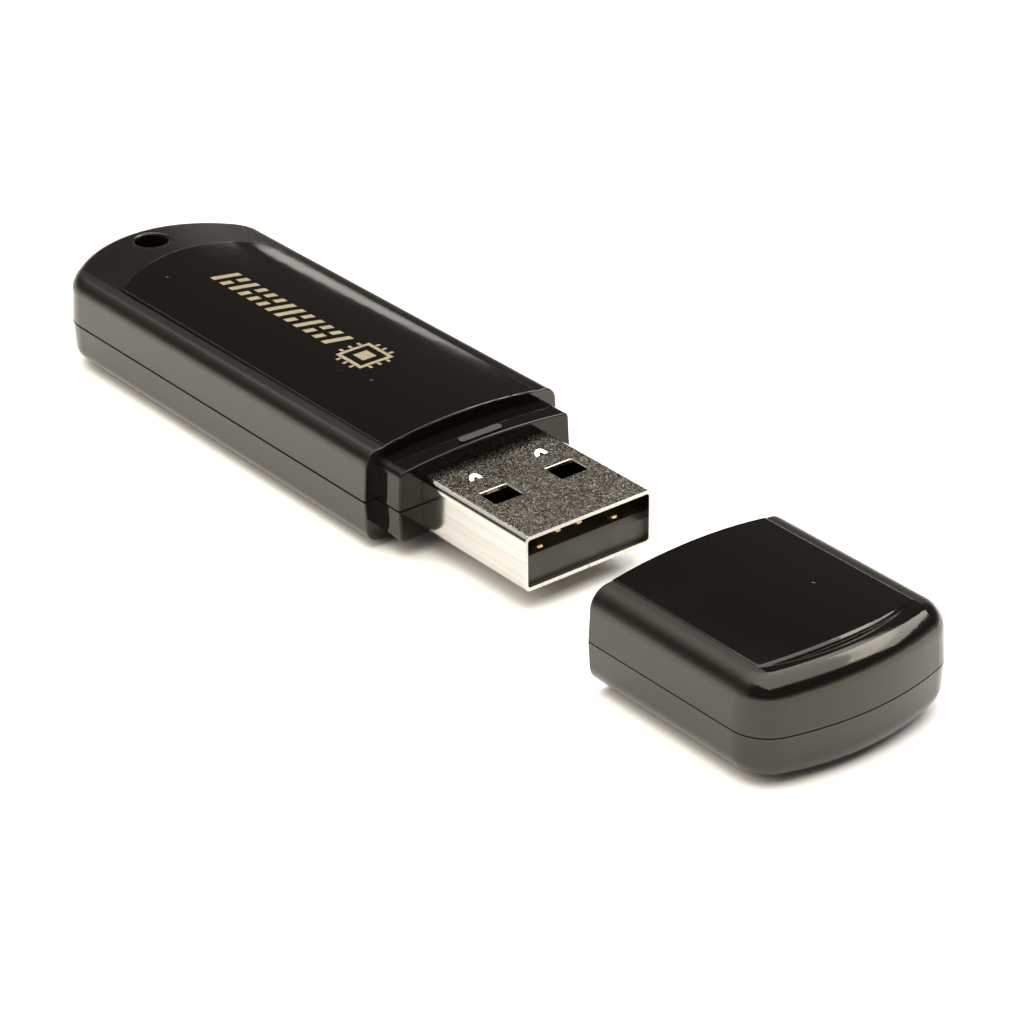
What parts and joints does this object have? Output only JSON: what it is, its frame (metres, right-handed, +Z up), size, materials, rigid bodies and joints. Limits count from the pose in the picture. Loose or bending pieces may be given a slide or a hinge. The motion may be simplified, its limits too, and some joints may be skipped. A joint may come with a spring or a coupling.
{
  "type": "usb flash drive",
  "caption": "Gloss black memory stick with a standard rectangular metal plug, a strap hole at the rear and a hollow cap that pulls straight off.",
  "frame": {"origin": "centre of the plug's mouth", "axes": "+X the way the plug points, +Z up through the top shell, +Y across the drive"},
  "size_m": [0.0905, 0.0184, 0.0089],
  "materials": {
    "body_plastic": "high-gloss black moulded plastic",
    "cap_plastic": "high-gloss black moulded plastic",
    "print_gold": "pale gold pad print",
    "plug_metal": "nickel-plated steel, finely grained faces and bright edges",
    "insulator_plastic": "satin black moulded plastic",
    "contact_gilt": "gold-plated contact strip",
    "board_laminate": "green solder-masked laminate",
    "chip_epoxy": "dull black moulded epoxy with tinned leads",
    "crystal_can": "plain metal can",
    "fuse_ceramic": "glazed ceramic",
    "ferrite": "dark grey ferrite with tinned ends",
    "led_lens": "pale clear resin",
    "capacitor_ceramic": "tan ceramic with tinned ends",
    "resistor_film": "black film on ceramic with tinned ends",
    "solder": "bright solder"
  },
  "bodies": {
    "drive": {"upper_shell": "body_plastic", "lower_shell": "body_plastic", "plug_shell": "plug_metal", "plug_insulator": "insulator_plastic", "contact_vbus": "contact_gilt", "contact_data_minus": "contact_gilt", "contact_data_plus": "contact_gilt", "contact_ground": "contact_gilt", "circuit_board": "board_laminate", "controller_chip": "chip_epoxy", "flash_memory_chip": "chip_epoxy", "second_memory_chip": "chip_epoxy", "crystal": "crystal_can", "voltage_regulator": "chip_epoxy", "input_fuse": "fuse_ceramic", "ferrite_bead": "ferrite", "activity_led": "led_lens", "decoupling_capacitors": "capacitor_ceramic", "resistors": "resistor_film", "plug_solder_joints": "solder", "contact_solder_joints": "solder"},
    "cap": {"cap_upper_shell": "cap_plastic", "cap_lower_shell": "cap_plastic"}
  },
  "joints": [
    {"name": "cap_slide", "type": "slide", "parent": "drive", "child": "cap", "axis": [1, 0, 0], "range_m": [-0.026, 0]}
  ]
}
